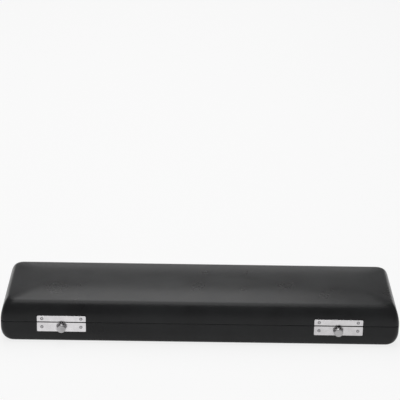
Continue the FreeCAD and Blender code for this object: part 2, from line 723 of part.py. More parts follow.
def latch_catch(side, sign):
    """The sliding catch: a lip that holds the strike's hook, a foot, and a stem behind the knob."""
    body = new_body(f"LatchCatch_{side}")
    half_foot = "(catch_foot_length / 2 - catch_thickness / 2)"
    profile = outline(body, f"LatchCatch_{side}_profile", "YZ_Plane", [
        (at_depth(f"{CATCH_FACE} - {half_foot}"), at_drop(CATCH_FOOT_DROP)),
        (at_depth(f"{CATCH_BACK} + {half_foot}"), at_drop(CATCH_FOOT_DROP)),
        (at_depth(f"{CATCH_BACK} + {half_foot}"), at_drop(f"{CATCH_FOOT_DROP} - catch_thickness")),
        (at_depth(CATCH_BACK), at_drop(f"{CATCH_FOOT_DROP} - catch_thickness")),
        (at_depth(CATCH_BACK), at_drop(CATCH_TOP_DROP)),
        (at_depth(f"{CATCH_TIP} + catch_chamfer"), at_drop(CATCH_TOP_DROP)),
        (at_depth(CATCH_TIP), at_drop(f"{CATCH_TOP_DROP} + catch_chamfer")),
        (at_depth(CATCH_TIP), at_drop(CATCH_LIP_UNDER_DROP)),
        (at_depth(CATCH_FACE), at_drop(CATCH_LIP_UNDER_DROP)),
        (at_depth(CATCH_FACE), at_drop(f"{CATCH_FOOT_DROP} - catch_thickness")),
        (at_depth(f"{CATCH_FACE} - {half_foot}"), at_drop(f"{CATCH_FOOT_DROP} - catch_thickness")),
    ])
    pad(body, f"LatchCatch_{side}_pad", profile, "catch_width", midplane=True)
    stem_low = at_drop("knob_drop + stem_width / 2")
    stem_high = at_drop("knob_drop - stem_width / 2")
    stem = outline(body, f"LatchCatch_{side}_stem", "XZ_Plane", [
        ("-stem_width / 2", stem_low), ("stem_width / 2", stem_low),
        ("stem_width / 2", stem_high), ("-stem_width / 2", stem_high),
    ], ("0", "0", f"case_width / 2 - {CATCH_FACE}"))
    pad(body, f"LatchCatch_{side}_stem_pad", stem, f"{CATCH_FACE} + knob_neck_end")
    return centred(body, sign)


def latch_spring(side, sign):
    """A leaf spring folded like an N, from the catch's back to the back of the box."""
    body = new_body(f"LatchSpring_{side}")
    near = f"({CATCH_BACK} + spring_end_gap)"
    far = f"({BOX_REAR_DEPTH} - box_sheet - spring_end_gap)"
    top = "spring_drop"
    foot = "(spring_drop + spring_height)"
    profile = outline(body, f"LatchSpring_{side}_profile", "YZ_Plane", [
        (at_depth(near), at_drop(foot)),
        (at_depth(f"{near} + spring_sheet"), at_drop(foot)),
        (at_depth(f"{far} - spring_sheet"), at_drop(f"{top} + spring_fold")),
        (at_depth(f"{far} - spring_sheet"), at_drop(foot)),
        (at_depth(far), at_drop(foot)),
        (at_depth(far), at_drop(top)),
        (at_depth(f"{far} - spring_sheet"), at_drop(top)),
        (at_depth(f"{near} + spring_sheet"), at_drop(f"{foot} - spring_fold")),
        (at_depth(f"{near} + spring_sheet"), at_drop(top)),
        (at_depth(near), at_drop(top)),
    ])
    pad(body, f"LatchSpring_{side}_pad", profile, "spring_width", midplane=True)
    return centred(body, sign)


for side, sign in SIDES:
    keep(f"latch_plate_{side}", latch_plate(side, sign))
    keep(f"latch_box_{side}", latch_box(side, sign))
    keep(f"latch_knob_{side}", latch_knob(side, sign))
    keep(f"latch_catch_{side}", latch_catch(side, sign))
    keep(f"latch_spring_{side}", latch_spring(side, sign))
    keep(f"strike_plate_{side}", strike_plate(side, sign))


# Hinges: two leaves with interleaved knuckles on one pin
KNUCKLE_LENGTH = f"((hinge_length - {KNUCKLES - 1} * knuckle_gap) / {KNUCKLES})"
LEAF_OUT = "-case_width / 2 + cover_thickness"


def hinge_leaf(name, sign, way, first, count):
    """A leaf on the rear wall; way is -1 below the pin and 1 above it."""
    body = new_body(name)
    root = f"{HINGE_AXIS_Z} + {way} * hinge_leaf_start"
    end = f"{HINGE_AXIS_Z} + {way} * hinge_leaf_height"
    face = outline(body, name + "_face", "XZ_Plane", [
        ("-hinge_length / 2", root), ("hinge_length / 2", root),
        ("hinge_length / 2", end), ("-hinge_length / 2", end),
    ], ("0", "0", LEAF_OUT))
    pad(body, name + "_pad", face, "hinge_leaf_thickness", reverse=True)
    start = f"(-hinge_length / 2 + {first} * ({KNUCKLE_LENGTH} + knuckle_gap))"
    ring = circle(body, name + "_ring", "YZ_Plane", "knuckle_radius", (HINGE_AXIS_Y, HINGE_AXIS_Z, start))
    ring_pad = pad(body, name + "_ring_pad", ring, KNUCKLE_LENGTH)
    tab = outline(body, name + "_tab", "YZ_Plane", [
        (f"{REAR} - cover_thickness", f"{HINGE_AXIS_Z} + {way} * knuckle_radius / 2"),
        (f"{REAR} + {LEAF_PROUD}", f"{HINGE_AXIS_Z} + {way} * knuckle_radius / 2"),
        (f"{REAR} + {LEAF_PROUD}", root),
        (f"{REAR} - cover_thickness", root),
    ], ("0", "0", start))
    tab_pad = pad(body, name + "_tab_pad", tab, KNUCKLE_LENGTH)
    if count > 1:
        pattern = body.newObject("PartDesign::LinearPattern", name + "_knuckles")
        pattern.Originals = [ring_pad, tab_pad]
        pattern.Direction = (ring, ["N_Axis"])
        pattern.Occurrences = count
        pattern.setExpression("Length", bound(f"{count - 1} * 2 * ({KNUCKLE_LENGTH} + knuckle_gap)"))
        body.Tip = pattern
        doc.recompute()
    pin_hole = circle(body, name + "_bore", "YZ_Plane", "hinge_pin_radius + hinge_pin_clearance",
                      (HINGE_AXIS_Y, HINGE_AXIS_Z, "0"))
    pocket(body, name + "_bore_cut", pin_hole, "hinge_length + 2 * overrun", midplane=True)
    return centred(body, sign, HINGE_X)


for side, sign in SIDES:
    keep(f"hinge_leaf_base_{side}", hinge_leaf(f"BaseLeaf_{side}", sign, -1, 0, 2))
    keep(f"hinge_leaf_lid_{side}", hinge_leaf(f"LidLeaf_{side}", sign, 1, 1, 1))
    keep(f"hinge_pin_{side}", cylinder(f"HingePin_{side}", "hinge_pin_radius", "hinge_length",
                                       f"{sign} * {HINGE_X} - hinge_length / 2",
                                       HINGE_AXIS_Y, HINGE_AXIS_Z, ALONG_X))

# Check every object and every piece before anything is written
doc.recompute()
for obj in doc.Objects:
    if "Invalid" in obj.State or "Error" in obj.State:
        raise ValueError(f"{obj.Label} failed: {obj.State}")
os.makedirs("parts", exist_ok=True)
for obj in nodes:
    if obj.Shape.isNull() or not obj.Shape.isValid():
        raise ValueError(f"{obj.Label} has no valid shape")
    print(f"{obj.Label}: {len(obj.Shape.Solids)} solid, {obj.Shape.Volume:.1f} mm3")
for obj in nodes:
    obj.Shape.exportStep(f"parts/{obj.Label}.step")
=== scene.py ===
import math

import bmesh
import bpy
from mathutils import Matrix, Vector, kdtree


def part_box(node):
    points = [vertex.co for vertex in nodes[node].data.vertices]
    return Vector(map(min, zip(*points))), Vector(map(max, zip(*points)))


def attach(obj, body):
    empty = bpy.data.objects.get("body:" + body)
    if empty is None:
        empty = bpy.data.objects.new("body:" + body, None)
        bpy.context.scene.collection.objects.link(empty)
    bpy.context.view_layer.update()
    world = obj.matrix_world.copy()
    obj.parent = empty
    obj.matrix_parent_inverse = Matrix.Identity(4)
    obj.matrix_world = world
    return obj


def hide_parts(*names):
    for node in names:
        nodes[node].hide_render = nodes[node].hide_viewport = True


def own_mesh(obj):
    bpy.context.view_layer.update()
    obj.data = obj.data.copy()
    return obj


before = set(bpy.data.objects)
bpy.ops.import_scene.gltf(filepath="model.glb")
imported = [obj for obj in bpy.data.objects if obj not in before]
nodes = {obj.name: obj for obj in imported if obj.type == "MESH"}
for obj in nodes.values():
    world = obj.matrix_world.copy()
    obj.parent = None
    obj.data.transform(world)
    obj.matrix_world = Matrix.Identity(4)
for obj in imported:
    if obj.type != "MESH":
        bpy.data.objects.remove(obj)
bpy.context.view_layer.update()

MM = 0.001
SIDES = ("left", "right")


def box_of(node):
    """The lowest and the highest corner of a node, in millimetres."""
    return [tuple(c / MM for c in corner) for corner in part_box(node)]


def middle_of(node, axis=0):
    """The place of a node's middle, along the case or on another axis, in millimetres."""
    low, high = box_of(node)
    return (low[axis] + high[axis]) / 2


# Sizes of the case, in millimetres, read off the frame
HALF_LENGTH, HALF_WIDTH, BASE_TOP = box_of("base_cover")[1]
LID_BOTTOM, LID_TOP = (corner[2] for corner in box_of("lid_cover"))
SKIN = box_of("base_shell")[0][2]
UNDER_EDGE = HALF_LENGTH - box_of("base_underside")[1][0]
PLATE_FACE = box_of("latch_plate_left")[0][1]
KNOB_HEIGHT = middle_of("latch_knob_left", 2)

# A hair's breadth, in millimetres, for faces that would lie on each other
HAIR = 0.05

# The gap between an upper and a lower plate, and how far painted shade from the seam spreads over the nickel,
# in millimetres
PLATE_SEAM, SEAM_SHADE_SPREAD = 0.7, 0.12


# Materials

def light_of(hex_text):
    """A screen colour as light."""
    parts = [int(hex_text[i:i + 2], 16) / 255 for i in (1, 3, 5)]
    return (*(p / 12.92 if p <= 0.04045 else ((p + 0.055) / 1.055) ** 2.4 for p in parts), 1.0)


def put(tree, kind, settings, sockets):
    """Adds a node: a plain value is set on its socket, another node's socket is joined to it."""
    node = tree.nodes.new("ShaderNode" + kind)
    for name, value in settings.items():
        setattr(node, name, value)
    for name, value in sockets.items():
        if isinstance(value, bpy.types.NodeSocket):
            tree.links.new(value, node.inputs[name])
        else:
            node.inputs[name].default_value = value
    return node


def ramp(tree, factor, stops):
    """A colour ramp between two (place, colour) stops."""
    node = put(tree, "ValToRGB", {}, {"Fac": factor})
    for element, (place, colour) in zip(node.color_ramp.elements, stops):
        element.position, element.color = place, colour
    return node.outputs["Color"]


def new_finish(name):
    """An empty material: itself, its tree and the place on the piece that its patterns follow."""
    finish = bpy.data.materials.new(name)
    finish.use_nodes = True
    tree = finish.node_tree
    tree.nodes.clear()
    return finish, tree, put(tree, "TexCoord", {}, {}).outputs["Object"]


def finish_with(tree, shader_sockets):
    """Ends a material in one surface shader."""
    shader = put(tree, "BsdfPrincipled", {}, shader_sockets)
    put(tree, "OutputMaterial", {}, {"Surface": shader.outputs["BSDF"]})


def leatherette(name, dark, light, grain_mm, depth_mm):
    # Thin black coated cloth with a fine pebbled grain, glued over wood. The eye gets a soft satin glow on
    # the round edges, and each pebble breaks it up a little. Low on the base its reflection is turned down as
    # painted shade, for the floor's shadow that it would mirror.
    finish, tree, place = new_finish(name)
    pebbles = put(tree, "TexVoronoi", {"feature": "SMOOTH_F1"},
                  {"Vector": place, "Scale": 1000 / grain_mm, "Smoothness": 0.35, "Randomness": 0.9})
    # Creases run between patches of two or three pebbles
    creases = put(tree, "TexVoronoi", {"feature": "DISTANCE_TO_EDGE"},
                  {"Vector": place, "Scale": 380 / grain_mm, "Randomness": 1.0})
    crease_lines = put(tree, "MapRange", {}, {"Value": creases.outputs["Distance"], "From Max": 0.12,
                                              "To Max": 0.45})
    pits = put(tree, "Math", {"operation": "MULTIPLY_ADD"},
               {0: pebbles.outputs["Distance"], 1: -0.7, 2: crease_lines.outputs["Result"]})
    # Soft patches of about 36 mm
    clouds = put(tree, "TexNoise", {}, {"Vector": place, "Scale": 28.0, "Detail": 3.0, "Roughness": 0.55})
    worn = put(tree, "Attribute", {"attribute_name": "rubbed"}, {}).outputs["Fac"]
    tone = ramp(tree, clouds.outputs["Fac"], [(0.3, light_of(dark)), (0.72, light_of(light))])
    rubbed = put(tree, "Mix", {"data_type": "RGBA"}, {"Factor": worn, 6: tone, 7: light_of("#39393a")})
    gloss = put(tree, "MapRange", {}, {"Value": clouds.outputs["Fac"], "From Min": 0.3, "From Max": 0.7,
                                       "To Min": 0.27, "To Max": 0.34})
    relief = put(tree, "Bump", {}, {"Height": pits.outputs[0], "Strength": 0.55, "Distance": depth_mm * MM})
    # Painted shade: the reflection is turned down low on the base, where the floor it mirrors lies in shadow
    low_shade = put(tree, "Attribute", {"attribute_name": "matt"}, {}).outputs["Fac"]
    shine = put(tree, "MapRange", {}, {"Value": low_shade, "To Min": 0.2, "To Max": 0.03})
    finish_with(tree, {"Base Color": rubbed.outputs[2], "Roughness": gloss.outputs["Result"],
                       "Specular IOR Level": shine.outputs["Result"], "Normal": relief.outputs["Normal"]})
    return finish


def plush(name, dark, light):
    # Short cut pile on foam. The eye gets a deep colour that turns pale where the pile lies edge-on, with
    # brushed patches about 2 cm wide.
    finish, tree, place = new_finish(name)
    brushed = put(tree, "TexNoise", {}, {"Vector": place, "Scale": 55.0, "Detail": 4.0, "Distortion": 0.6})
    # The real pile is finer than 0.2 mm, and is drawn at about 0.5 mm so that it shows in a near view
    pile = put(tree, "TexNoise", {}, {"Vector": place, "Scale": 1900.0, "Detail": 2.0})
    mixed = put(tree, "Math", {"operation": "MULTIPLY_ADD"},
                {0: pile.outputs["Fac"], 1: 0.45, 2: brushed.outputs["Fac"]})
    tone = ramp(tree, mixed.outputs[0], [(0.5, light_of(dark)), (0.95, light_of(light))])
    relief = put(tree, "Bump", {}, {"Height": mixed.outputs[0], "Strength": 0.6, "Distance": 0.25 * MM})
    finish_with(tree, {"Base Color": tone, "Roughness": 0.92, "Specular IOR Level": 0.15,
                       "Sheen Weight": 0.55, "Sheen Roughness": 0.38, "Sheen Tint": light_of("#8fa3d6"),
                       "Normal": relief.outputs["Normal"]})
    return finish


def plated_metal(name, dark, light, rough_low, rough_high, seam_shade=0.0):
    # Nickel plate over stamped brass. The eye gets a bright soft mirror with rub marks along the plate, and
    # painted shade beside the seam between base and lid and in a knob's hole, where the gaps are dark.
    finish, tree, place = new_finish(name)
    # Rub marks about 25 mm long and 0.7 mm wide, and smudges of 6 mm
    along = put(tree, "Mapping", {}, {"Vector": place, "Scale": (40.0, 1500.0, 1500.0)})
    rubs = put(tree, "TexNoise", {}, {"Vector": along.outputs["Vector"], "Scale": 1.0, "Detail": 3.0})
    smudges = put(tree, "TexNoise", {}, {"Vector": place, "Scale": 160.0, "Detail": 2.0})
    mixed = put(tree, "Math", {"operation": "MULTIPLY_ADD"},
                {0: rubs.outputs["Fac"], 1: 0.5, 2: smudges.outputs["Fac"]})
    gloss = put(tree, "MapRange", {}, {"Value": mixed.outputs[0], "From Min": 0.5, "From Max": 1.0,
                                       "To Min": rough_low, "To Max": rough_high})
    relief = put(tree, "Bump", {}, {"Height": rubs.outputs["Fac"], "Strength": 0.12, "Distance": 0.02 * MM})
    tone = ramp(tree, smudges.outputs["Fac"], [(0.35, light_of(dark)), (0.7, light_of(light))])
    # Painted shade read from the vertices, at the seam's edges and in a knob's hole, with the darker
    # right-hand faces
    seam_shade_and_dull = put(tree, "Attribute", {"attribute_name": "painted_seam_shade_and_dull"}, {}).outputs["Fac"]
    height = put(tree, "SeparateXYZ", {}, {"Vector": place}).outputs["Z"]
    # Painted shade on the nickel near the seam's height, dark like the gap itself
    at_seam = put(tree, "Math", {"operation": "COMPARE"},
                  {0: height, 1: (BASE_TOP + PLATE_SEAM / 2) * MM, 2: (PLATE_SEAM / 2 + SEAM_SHADE_SPREAD) * MM})
    shade_amount = put(tree, "Math", {"operation": "MULTIPLY_ADD"}, {0: at_seam.outputs[0], 1: seam_shade, 2: seam_shade_and_dull})
    shaded_tone = put(tree, "Mix", {"data_type": "RGBA"},
               {"Factor": shade_amount.outputs[0], 6: tone, 7: light_of("#2b2926")})
    finish_with(tree, {"Base Color": shaded_tone.outputs[2], "Metallic": 1.0, "Roughness": gloss.outputs["Result"],
                       "Normal": relief.outputs["Normal"]})
    return finish


def spring_steel(name):
    # Blued strip steel of the leaf springs, the latch boxes and the hinge pins. The eye gets a dull grey
    # with fine drawing lines.
    finish, tree, place = new_finish(name)
    # Lines about 7 mm long and 0.4 mm apart
    along = put(tree, "Mapping", {}, {"Vector": place, "Scale": (150.0, 2600.0, 2600.0)})
    lines = put(tree, "TexNoise", {}, {"Vector": along.outputs["Vector"], "Scale": 1.0, "Detail": 2.0})
    tone = ramp(tree, lines.outputs["Fac"], [(0.3, light_of("#74777c")), (0.7, light_of("#9b9da1"))])
    gloss = put(tree, "MapRange", {}, {"Value": lines.outputs["Fac"], "To Min": 0.26, "To Max": 0.42})
    finish_with(tree, {"Base Color": tone, "Metallic": 1.0, "Roughness": gloss.outputs["Result"]})
    return finish


def bare_wood(name):
    # Pale limewood of the two shells, planed and unpolished. The eye gets long grain along the case.
    finish, tree, place = new_finish(name)
    # Streaks about 110 mm long and 6 mm wide
    along = put(tree, "Mapping", {}, {"Vector": place, "Scale": (9.0, 160.0, 160.0)})
    rings = put(tree, "TexNoise", {}, {"Vector": along.outputs["Vector"], "Scale": 1.0, "Detail": 5.0,
                                       "Distortion": 0.8})
    tone = ramp(tree, rings.outputs["Fac"], [(0.3, light_of("#a9835a")), (0.7, light_of("#d2b184"))])
    relief = put(tree, "Bump", {}, {"Height": rings.outputs["Fac"], "Strength": 0.3, "Distance": 0.1 * MM})
    finish_with(tree, {"Base Color": tone, "Roughness": 0.62, "Normal": relief.outputs["Normal"]})
    return finish


def backing_cloth(name):
    # Black bookcloth on the underside. The eye gets a flat weave of about 1.2 mm, duller than the sides.
    finish, tree, place = new_finish(name)
    across, up = (put(tree, "TexWave", {"bands_direction": way},
                      {"Vector": place, "Scale": 265.0, "Distortion": 0.4}) for way in "XY")
    weave = put(tree, "Math", {"operation": "MAXIMUM"}, {0: across.outputs["Fac"], 1: up.outputs["Fac"]})
    tone = ramp(tree, weave.outputs[0], [(0.2, light_of("#121213")), (1.0, light_of("#242425"))])
    relief = put(tree, "Bump", {}, {"Height": weave.outputs[0], "Strength": 0.5, "Distance": 0.08 * MM})
    finish_with(tree, {"Base Color": tone, "Roughness": 0.82, "Normal": relief.outputs["Normal"]})
    return finish


COVER_BLACK = leatherette("black leatherette", "#202021", "#292a2b", 0.9, 0.05)
PILE_BLUE = plush("dark blue plush", "#0b1430", "#1c2b5c")
LID_PILE_BLUE = plush("dark blue lid plush", "#0b1430", "#1c2b5c")
# The bright nickel gets painted shade of 0.8 along the seam
BRIGHT_NICKEL = plated_metal("bright nickel plate", "#d9d7d9", "#e9e7e9", 0.2, 0.3, 0.8)
KNOB_NICKEL = plated_metal("turned knob nickel", "#a5a4a5", "#c2c0c2", 0.28, 0.4)
SCREW_NICKEL = plated_metal("screw nickel", "#807f81", "#a09ea0", 0.3, 0.45)
HINGE_NICKEL = plated_metal("hinge nickel plate", "#bdbbbd", "#d6d4d6", 0.24, 0.4)
STRIP_STEEL = spring_steel("blued strip steel")
LIMEWOOD = bare_wood("planed limewood")
UNDER_CLOTH = backing_cloth("black backing cloth")


# Making pieces

def piece_from(bm, name, material, body, slot, *stands_for):
    """Turns a bmesh into a finished piece that rides on a body."""
    piece = loose(bm, name)
    piece.data.materials.append(material)
    if stands_for:
        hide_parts(*stands_for)
    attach(piece, body)
    return piece


def loose(bm, name="helper"):
    """An object from a bmesh, which rides on nothing yet."""
    mesh = bpy.data.meshes.new(name)
    bm.to_mesh(mesh)
    bm.free()
    thing = bpy.data.objects.new(name, mesh)
    bpy.context.scene.collection.objects.link(thing)
    return thing


def settle(thing):
    """Takes what an object's modifiers make of its mesh as its new mesh."""
    bpy.context.view_layer.update()
    seen = thing.evaluated_get(bpy.context.evaluated_depsgraph_get())
    mesh = bpy.data.meshes.new_from_object(seen)
    thing.modifiers.clear()
    old, thing.data = thing.data, mesh
    bpy.data.meshes.remove(old)


def evened(bm, grain_mm):
    """A helper with the bmesh's form in an even mesh of the given grain."""
    helper = loose(bm)
    even = helper.modifiers.new("even", "REMESH")
    even.mode, even.voxel_size = "VOXEL", grain_mm * MM
    settle(helper)
    return helper


def cut_by(piece, cutters):
    """Takes the cutters' space out of a piece and clears them away."""
    for cutter in cutters:
        taking = piece.modifiers.new("cut", "BOOLEAN")
        taking.operation, taking.solver, taking.object = "DIFFERENCE", "EXACT", cutter
    settle(piece)
    for cutter in cutters:
        bpy.data.objects.remove(cutter)


def block_cutter(x, y, z):
    """A cutting block between two places on each axis, in millimetres."""
    bm = bmesh.new()
    made = bmesh.ops.create_cube(bm, size=1)
    bmesh.ops.scale(bm, vec=[(b - a) * MM for a, b in (x, y, z)], verts=made["verts"])
    bmesh.ops.translate(bm, vec=[(a + b) / 2 * MM for a, b in (x, y, z)], verts=made["verts"])
    return loose(bm)


def soften(bm, sharp_degrees):
    """Smooth shading, kept crisp at edges that turn by more than the given angle."""
    for face in bm.faces:
        face.smooth = True
    for edge in bm.edges:
        edge.smooth = len(edge.link_faces) == 2 and edge.calc_face_angle(0) < math.radians(sharp_degrees)


def wear(bm, kind, how_much):
    """Stores a value at each vertex for its material: how rubbed it is, or how much painted shade it gets."""
    layer = bm.verts.layers.float.new(kind)
    for vert in bm.verts:
        vert[layer] = how_much(vert.co / MM)


def turned(points, steps):
    """A lathe-turned form about the y axis, from (radius, y) points in millimetres."""
    bm = bmesh.new()
    chain = [bm.verts.new((r * MM, y * MM, 0)) for r, y in points]
    for a, b in zip(chain, chain[1:]):
        bm.edges.new((a, b))
    bmesh.ops.spin(bm, geom=bm.verts[:] + bm.edges[:], cent=(0, 0, 0), axis=(0, 1, 0), dvec=(0, 0, 0),
                   angle=math.tau, steps=steps, use_merge=True, use_duplicate=False)
    bmesh.ops.remove_doubles(bm, verts=bm.verts, dist=1e-6)
    bmesh.ops.recalc_face_normals(bm, faces=bm.faces)
    return bm


# How many steps a skin takes round each corner and along each side of the case
CORNER_STEPS, LONG_STEPS, SHORT_STEPS = 10, 56, 16


def outline_ring(inset, radius):
    """Points round the case's outline, moved in by inset, starting at the rear right corner."""
    half_long, half_wide = HALF_LENGTH - inset, HALF_WIDTH - inset
    radius = min(radius, half_wide)
    points = []
    corners = ((1, 1, 0), (-1, 1, 90), (-1, -1, 180), (1, -1, 270))
    for at, (sx, sy, start) in enumerate(corners):
        cx, cy = sx * (half_long - radius), sy * (half_wide - radius)
        for step in range(CORNER_STEPS + 1):
            angle = math.radians(start + 90 * step / CORNER_STEPS)
            points.append((cx + radius * math.cos(angle), cy + radius * math.sin(angle)))
        nx, ny, _ = corners[(at + 1) % 4]
        x1, y1 = points[-1]
        along = (nx - sx) * (half_long - radius), (ny - sy) * (half_wide - radius)
        steps = LONG_STEPS if along[0] else SHORT_STEPS
        for step in range(1, steps):
            points.append((x1 + along[0] * step / steps, y1 + along[1] * step / steps))
    return points


def wrapped(levels):
    """A skin rolled round the case: a grid whose rows are the levels (inset, corner radius, height).

    A level that is moved in by half the case's width closes to a line along the middle."""
    bm = bmesh.new()
    rings = [outline_ring(inset, radius) for inset, radius, height in levels]
    around, rows = len(rings[0]), len(levels) - 1
    bmesh.ops.create_grid(bm, x_segments=around, y_segments=rows, size=1)
    for vert in bm.verts:
        column = round((vert.co.x + 1) / 2 * around) % around
        row = round((vert.co.y + 1) / 2 * rows)
        x, y = rings[row][column]
        vert.co = x * MM, y * MM, levels[row][2] * MM
    bmesh.ops.remove_doubles(bm, verts=bm.verts, dist=1e-6)
    open_edges = [edge for edge in bm.edges if edge.is_boundary]
    if open_edges:
        bmesh.ops.holes_fill(bm, edges=open_edges, sides=0)
    bmesh.ops.recalc_face_normals(bm, faces=bm.faces)
    return bm


# Leatherette skins

# Corner radii of the outline: of the walls, of the crown and of the two openings
CORNER, CROWN_CORNER, OPENING_CORNER = 6.0, 8.0, 11.0
# How thick the walls are with their leatherette
LID_WALL, BASE_WALL = 4.6, 5.0
# The rims' rounding outside, with the place of its middle, and the smaller one inside
RIM_SOFT, SOFT_MIDDLE, SOFT_CORNER, INNER_SOFT = 0.5, 0.15, 0.1, 0.2
# The lid's round edge and the low crown that it runs into
LID_ROUND, ROUND_POWER, CROWN_RISE, CROWN_WIDE = 8.0, 1.2, 3.0, 35.0
# The quarter ellipse low on the base. It is narrower than the solid's, which lowers its outline by 0.3 mm
BASE_ROUND, BASE_ROUND_TALL, WALL_STEP = 10.1, 17.3, 4.0
# The base's leatherette reflects less below the first height and as usual above the second, as painted shade
# near the floor
SHADE_BELOW, UNSHADED_ABOVE = 3.0, 9.0
# How far the leatherette is turned in over the lid's and the base's rim, its overlap on the lid's wall, and
# how deep its end is sunk in the wood
LID_TURN_IN, BASE_TURN_IN, OVERLAP, END_SUNK = 4.0, 1.5, 0.15, 0.6
# How much the padding may swell
SLACK = 0.5
# The pad under the crown: its foot, and the level of the lid's outside that it starts at
PAD_FOOT_IN, PAD_FOOT_UP, PAD_FROM = 10, 9, 10
# Its coarse mesh, the air's pressure, for how many frames it blows, and how many of its points move a skin's
PAD_GRAIN, PAD_PRESSURE, PAD_FRAMES, PAD_NEAREST = 5, 4, 20, 30
# Room cut in the base's leatherette: beside and over a latch's catch, down the rim, and past each surface
CATCH_ROOM, CATCH_HEADROOM, RIM_CUT_DEEP, CUT_OVER = 0.3, 0.4, 5, 1


def lid_levels(skin, round_steps, crown_steps):
    """The lid's outside, moved in by a skin: up the wall, over the round edge and along the crown.

    The middle of the crown starts lower by the slack, before its padding swells."""
    start = LID_BOTTOM + RIM_SOFT
    rise = LID_TOP - CROWN_RISE - start - skin
    levels = []
    for step in range(round_steps):
        turn = math.pi / 2 * step / round_steps
        across = math.cos(turn) ** ROUND_POWER
        levels.append((skin + (LID_ROUND - skin) * (1 - across),
                       CROWN_CORNER - (CROWN_CORNER - CORNER + skin) * across,
                       start + rise * math.sin(turn) ** ROUND_POWER))
    for step in range(crown_steps + 1):
        share = (step / crown_steps) ** 1.3
        levels.append((LID_ROUND + CROWN_WIDE * share, CROWN_CORNER,
                       start + rise + (CROWN_RISE - SLACK) * share * (2 - share)))
    for _ in range(5):
        # The leatherette bridges the place where the round edge meets the crown
        levels = levels[:1] + [tuple((p + 2 * q + r) / 4 for p, q, r in zip(*three))
                               for three in zip(levels, levels[1:], levels[2:])] + levels[-1:]
    return levels + [(HALF_WIDTH - 5, CROWN_CORNER, levels[-1][2]), (HALF_WIDTH, 0, levels[-1][2])]


def pressed_pad(levels):
    """Cloth over foam: a coarse closed form that air inside presses outwards.

    Gives a tree of its places at rest and how far each one moved."""
    pad = evened(wrapped(levels), PAD_GRAIN)
    places = [vert.co.copy() for vert in pad.data.vertices]
    cloth = pad.modifiers.new("cloth", "CLOTH")
    cloth.settings.use_pressure = True
    cloth.settings.uniform_pressure_force = PAD_PRESSURE
    cloth.settings.effector_weights.gravity = 0
    for frame_number in range(1, PAD_FRAMES + 1):
        bpy.context.scene.frame_set(frame_number)
    swollen = pad.evaluated_get(bpy.context.evaluated_depsgraph_get()).to_mesh()
    moves = [vert.co - place for vert, place in zip(swollen.vertices, places)]
    tree = kdtree.KDTree(len(places))
    for at, place in enumerate(places):
        tree.insert(place, at)
    tree.balance()
    bpy.data.objects.remove(pad)
    bpy.context.scene.frame_set(1)
    return tree, moves


def swell(bm, pad, cap_mm, hold):
    """Moves a finished skin with its pad, as far as the cap allows; hold says where it is glued down."""
    tree, moves = pad
    most = max(move.length for move in moves)
    for vert in bm.verts:
        near = tree.find_n(vert.co, PAD_NEAREST)
        reach = max(distance for _, _, distance in near)
        weights = [reach - distance for _, _, distance in near]
        move = sum((moves[at] * weight for (_, at, _), weight in zip(near, weights)), Vector()) / sum(weights)
        vert.co += move / most * cap_mm * MM * hold(vert.co / MM)


def rubbed_along(height):
    """Wear of the leatherette that is strongest at a height and gone 0.5 mm from it."""
    return lambda p: max(0.0, 0.5 - abs(p.z - height)) * 0.5


def make_lid_skin():
    # Leatherette drawn over the padded lid and turned in over its wooden rim
    outer = lid_levels(0, 22, 16)
    inner = lid_levels(SKIN * 2, 10, 6)
    inside = LID_WALL + OVERLAP
    rim = [(LID_WALL - END_SUNK, OPENING_CORNER, LID_BOTTOM + LID_TURN_IN),
           (inside, OPENING_CORNER, LID_BOTTOM + LID_TURN_IN - HAIR),
           (inside, OPENING_CORNER, LID_BOTTOM + 2 * OVERLAP),
           (LID_WALL - OVERLAP, OPENING_CORNER, LID_BOTTOM),
           (RIM_SOFT, CORNER - RIM_SOFT, LID_BOTTOM),
           (SOFT_MIDDLE, CORNER - SOFT_CORNER, LID_BOTTOM + SOFT_MIDDLE)]
    bm = wrapped(inner[::-1] + rim + outer)
    pad = pressed_pad([(PAD_FOOT_IN, CROWN_CORNER, LID_BOTTOM + PAD_FOOT_UP)] + outer[PAD_FROM:])
    # The pad is glued round its edge, so it rises only away from the round edge
    swell(bm, pad, SLACK, lambda p: min(max((p.z - LID_TOP + CROWN_RISE + 0.5) / CROWN_RISE, 0), 1))
    soften(bm, 50)
    wear(bm, "rubbed", rubbed_along(LID_BOTTOM + 0.2))
    piece = piece_from(bm, "lid_skin", COVER_BLACK, "lid", "leatherette", "lid_cover", "lid_pad")


def base_round(inset, steps):
    """The quarter ellipse low on the base, moved in by inset, from its foot up."""
    levels = []
    for step in range(steps + 1):
        turn = math.pi / 2 * step / steps
        levels.append((inset + (BASE_ROUND - inset) * (1 - math.sin(turn)), CORNER,
                       inset + (BASE_ROUND_TALL - inset) * (1 - math.cos(turn))))
    return levels


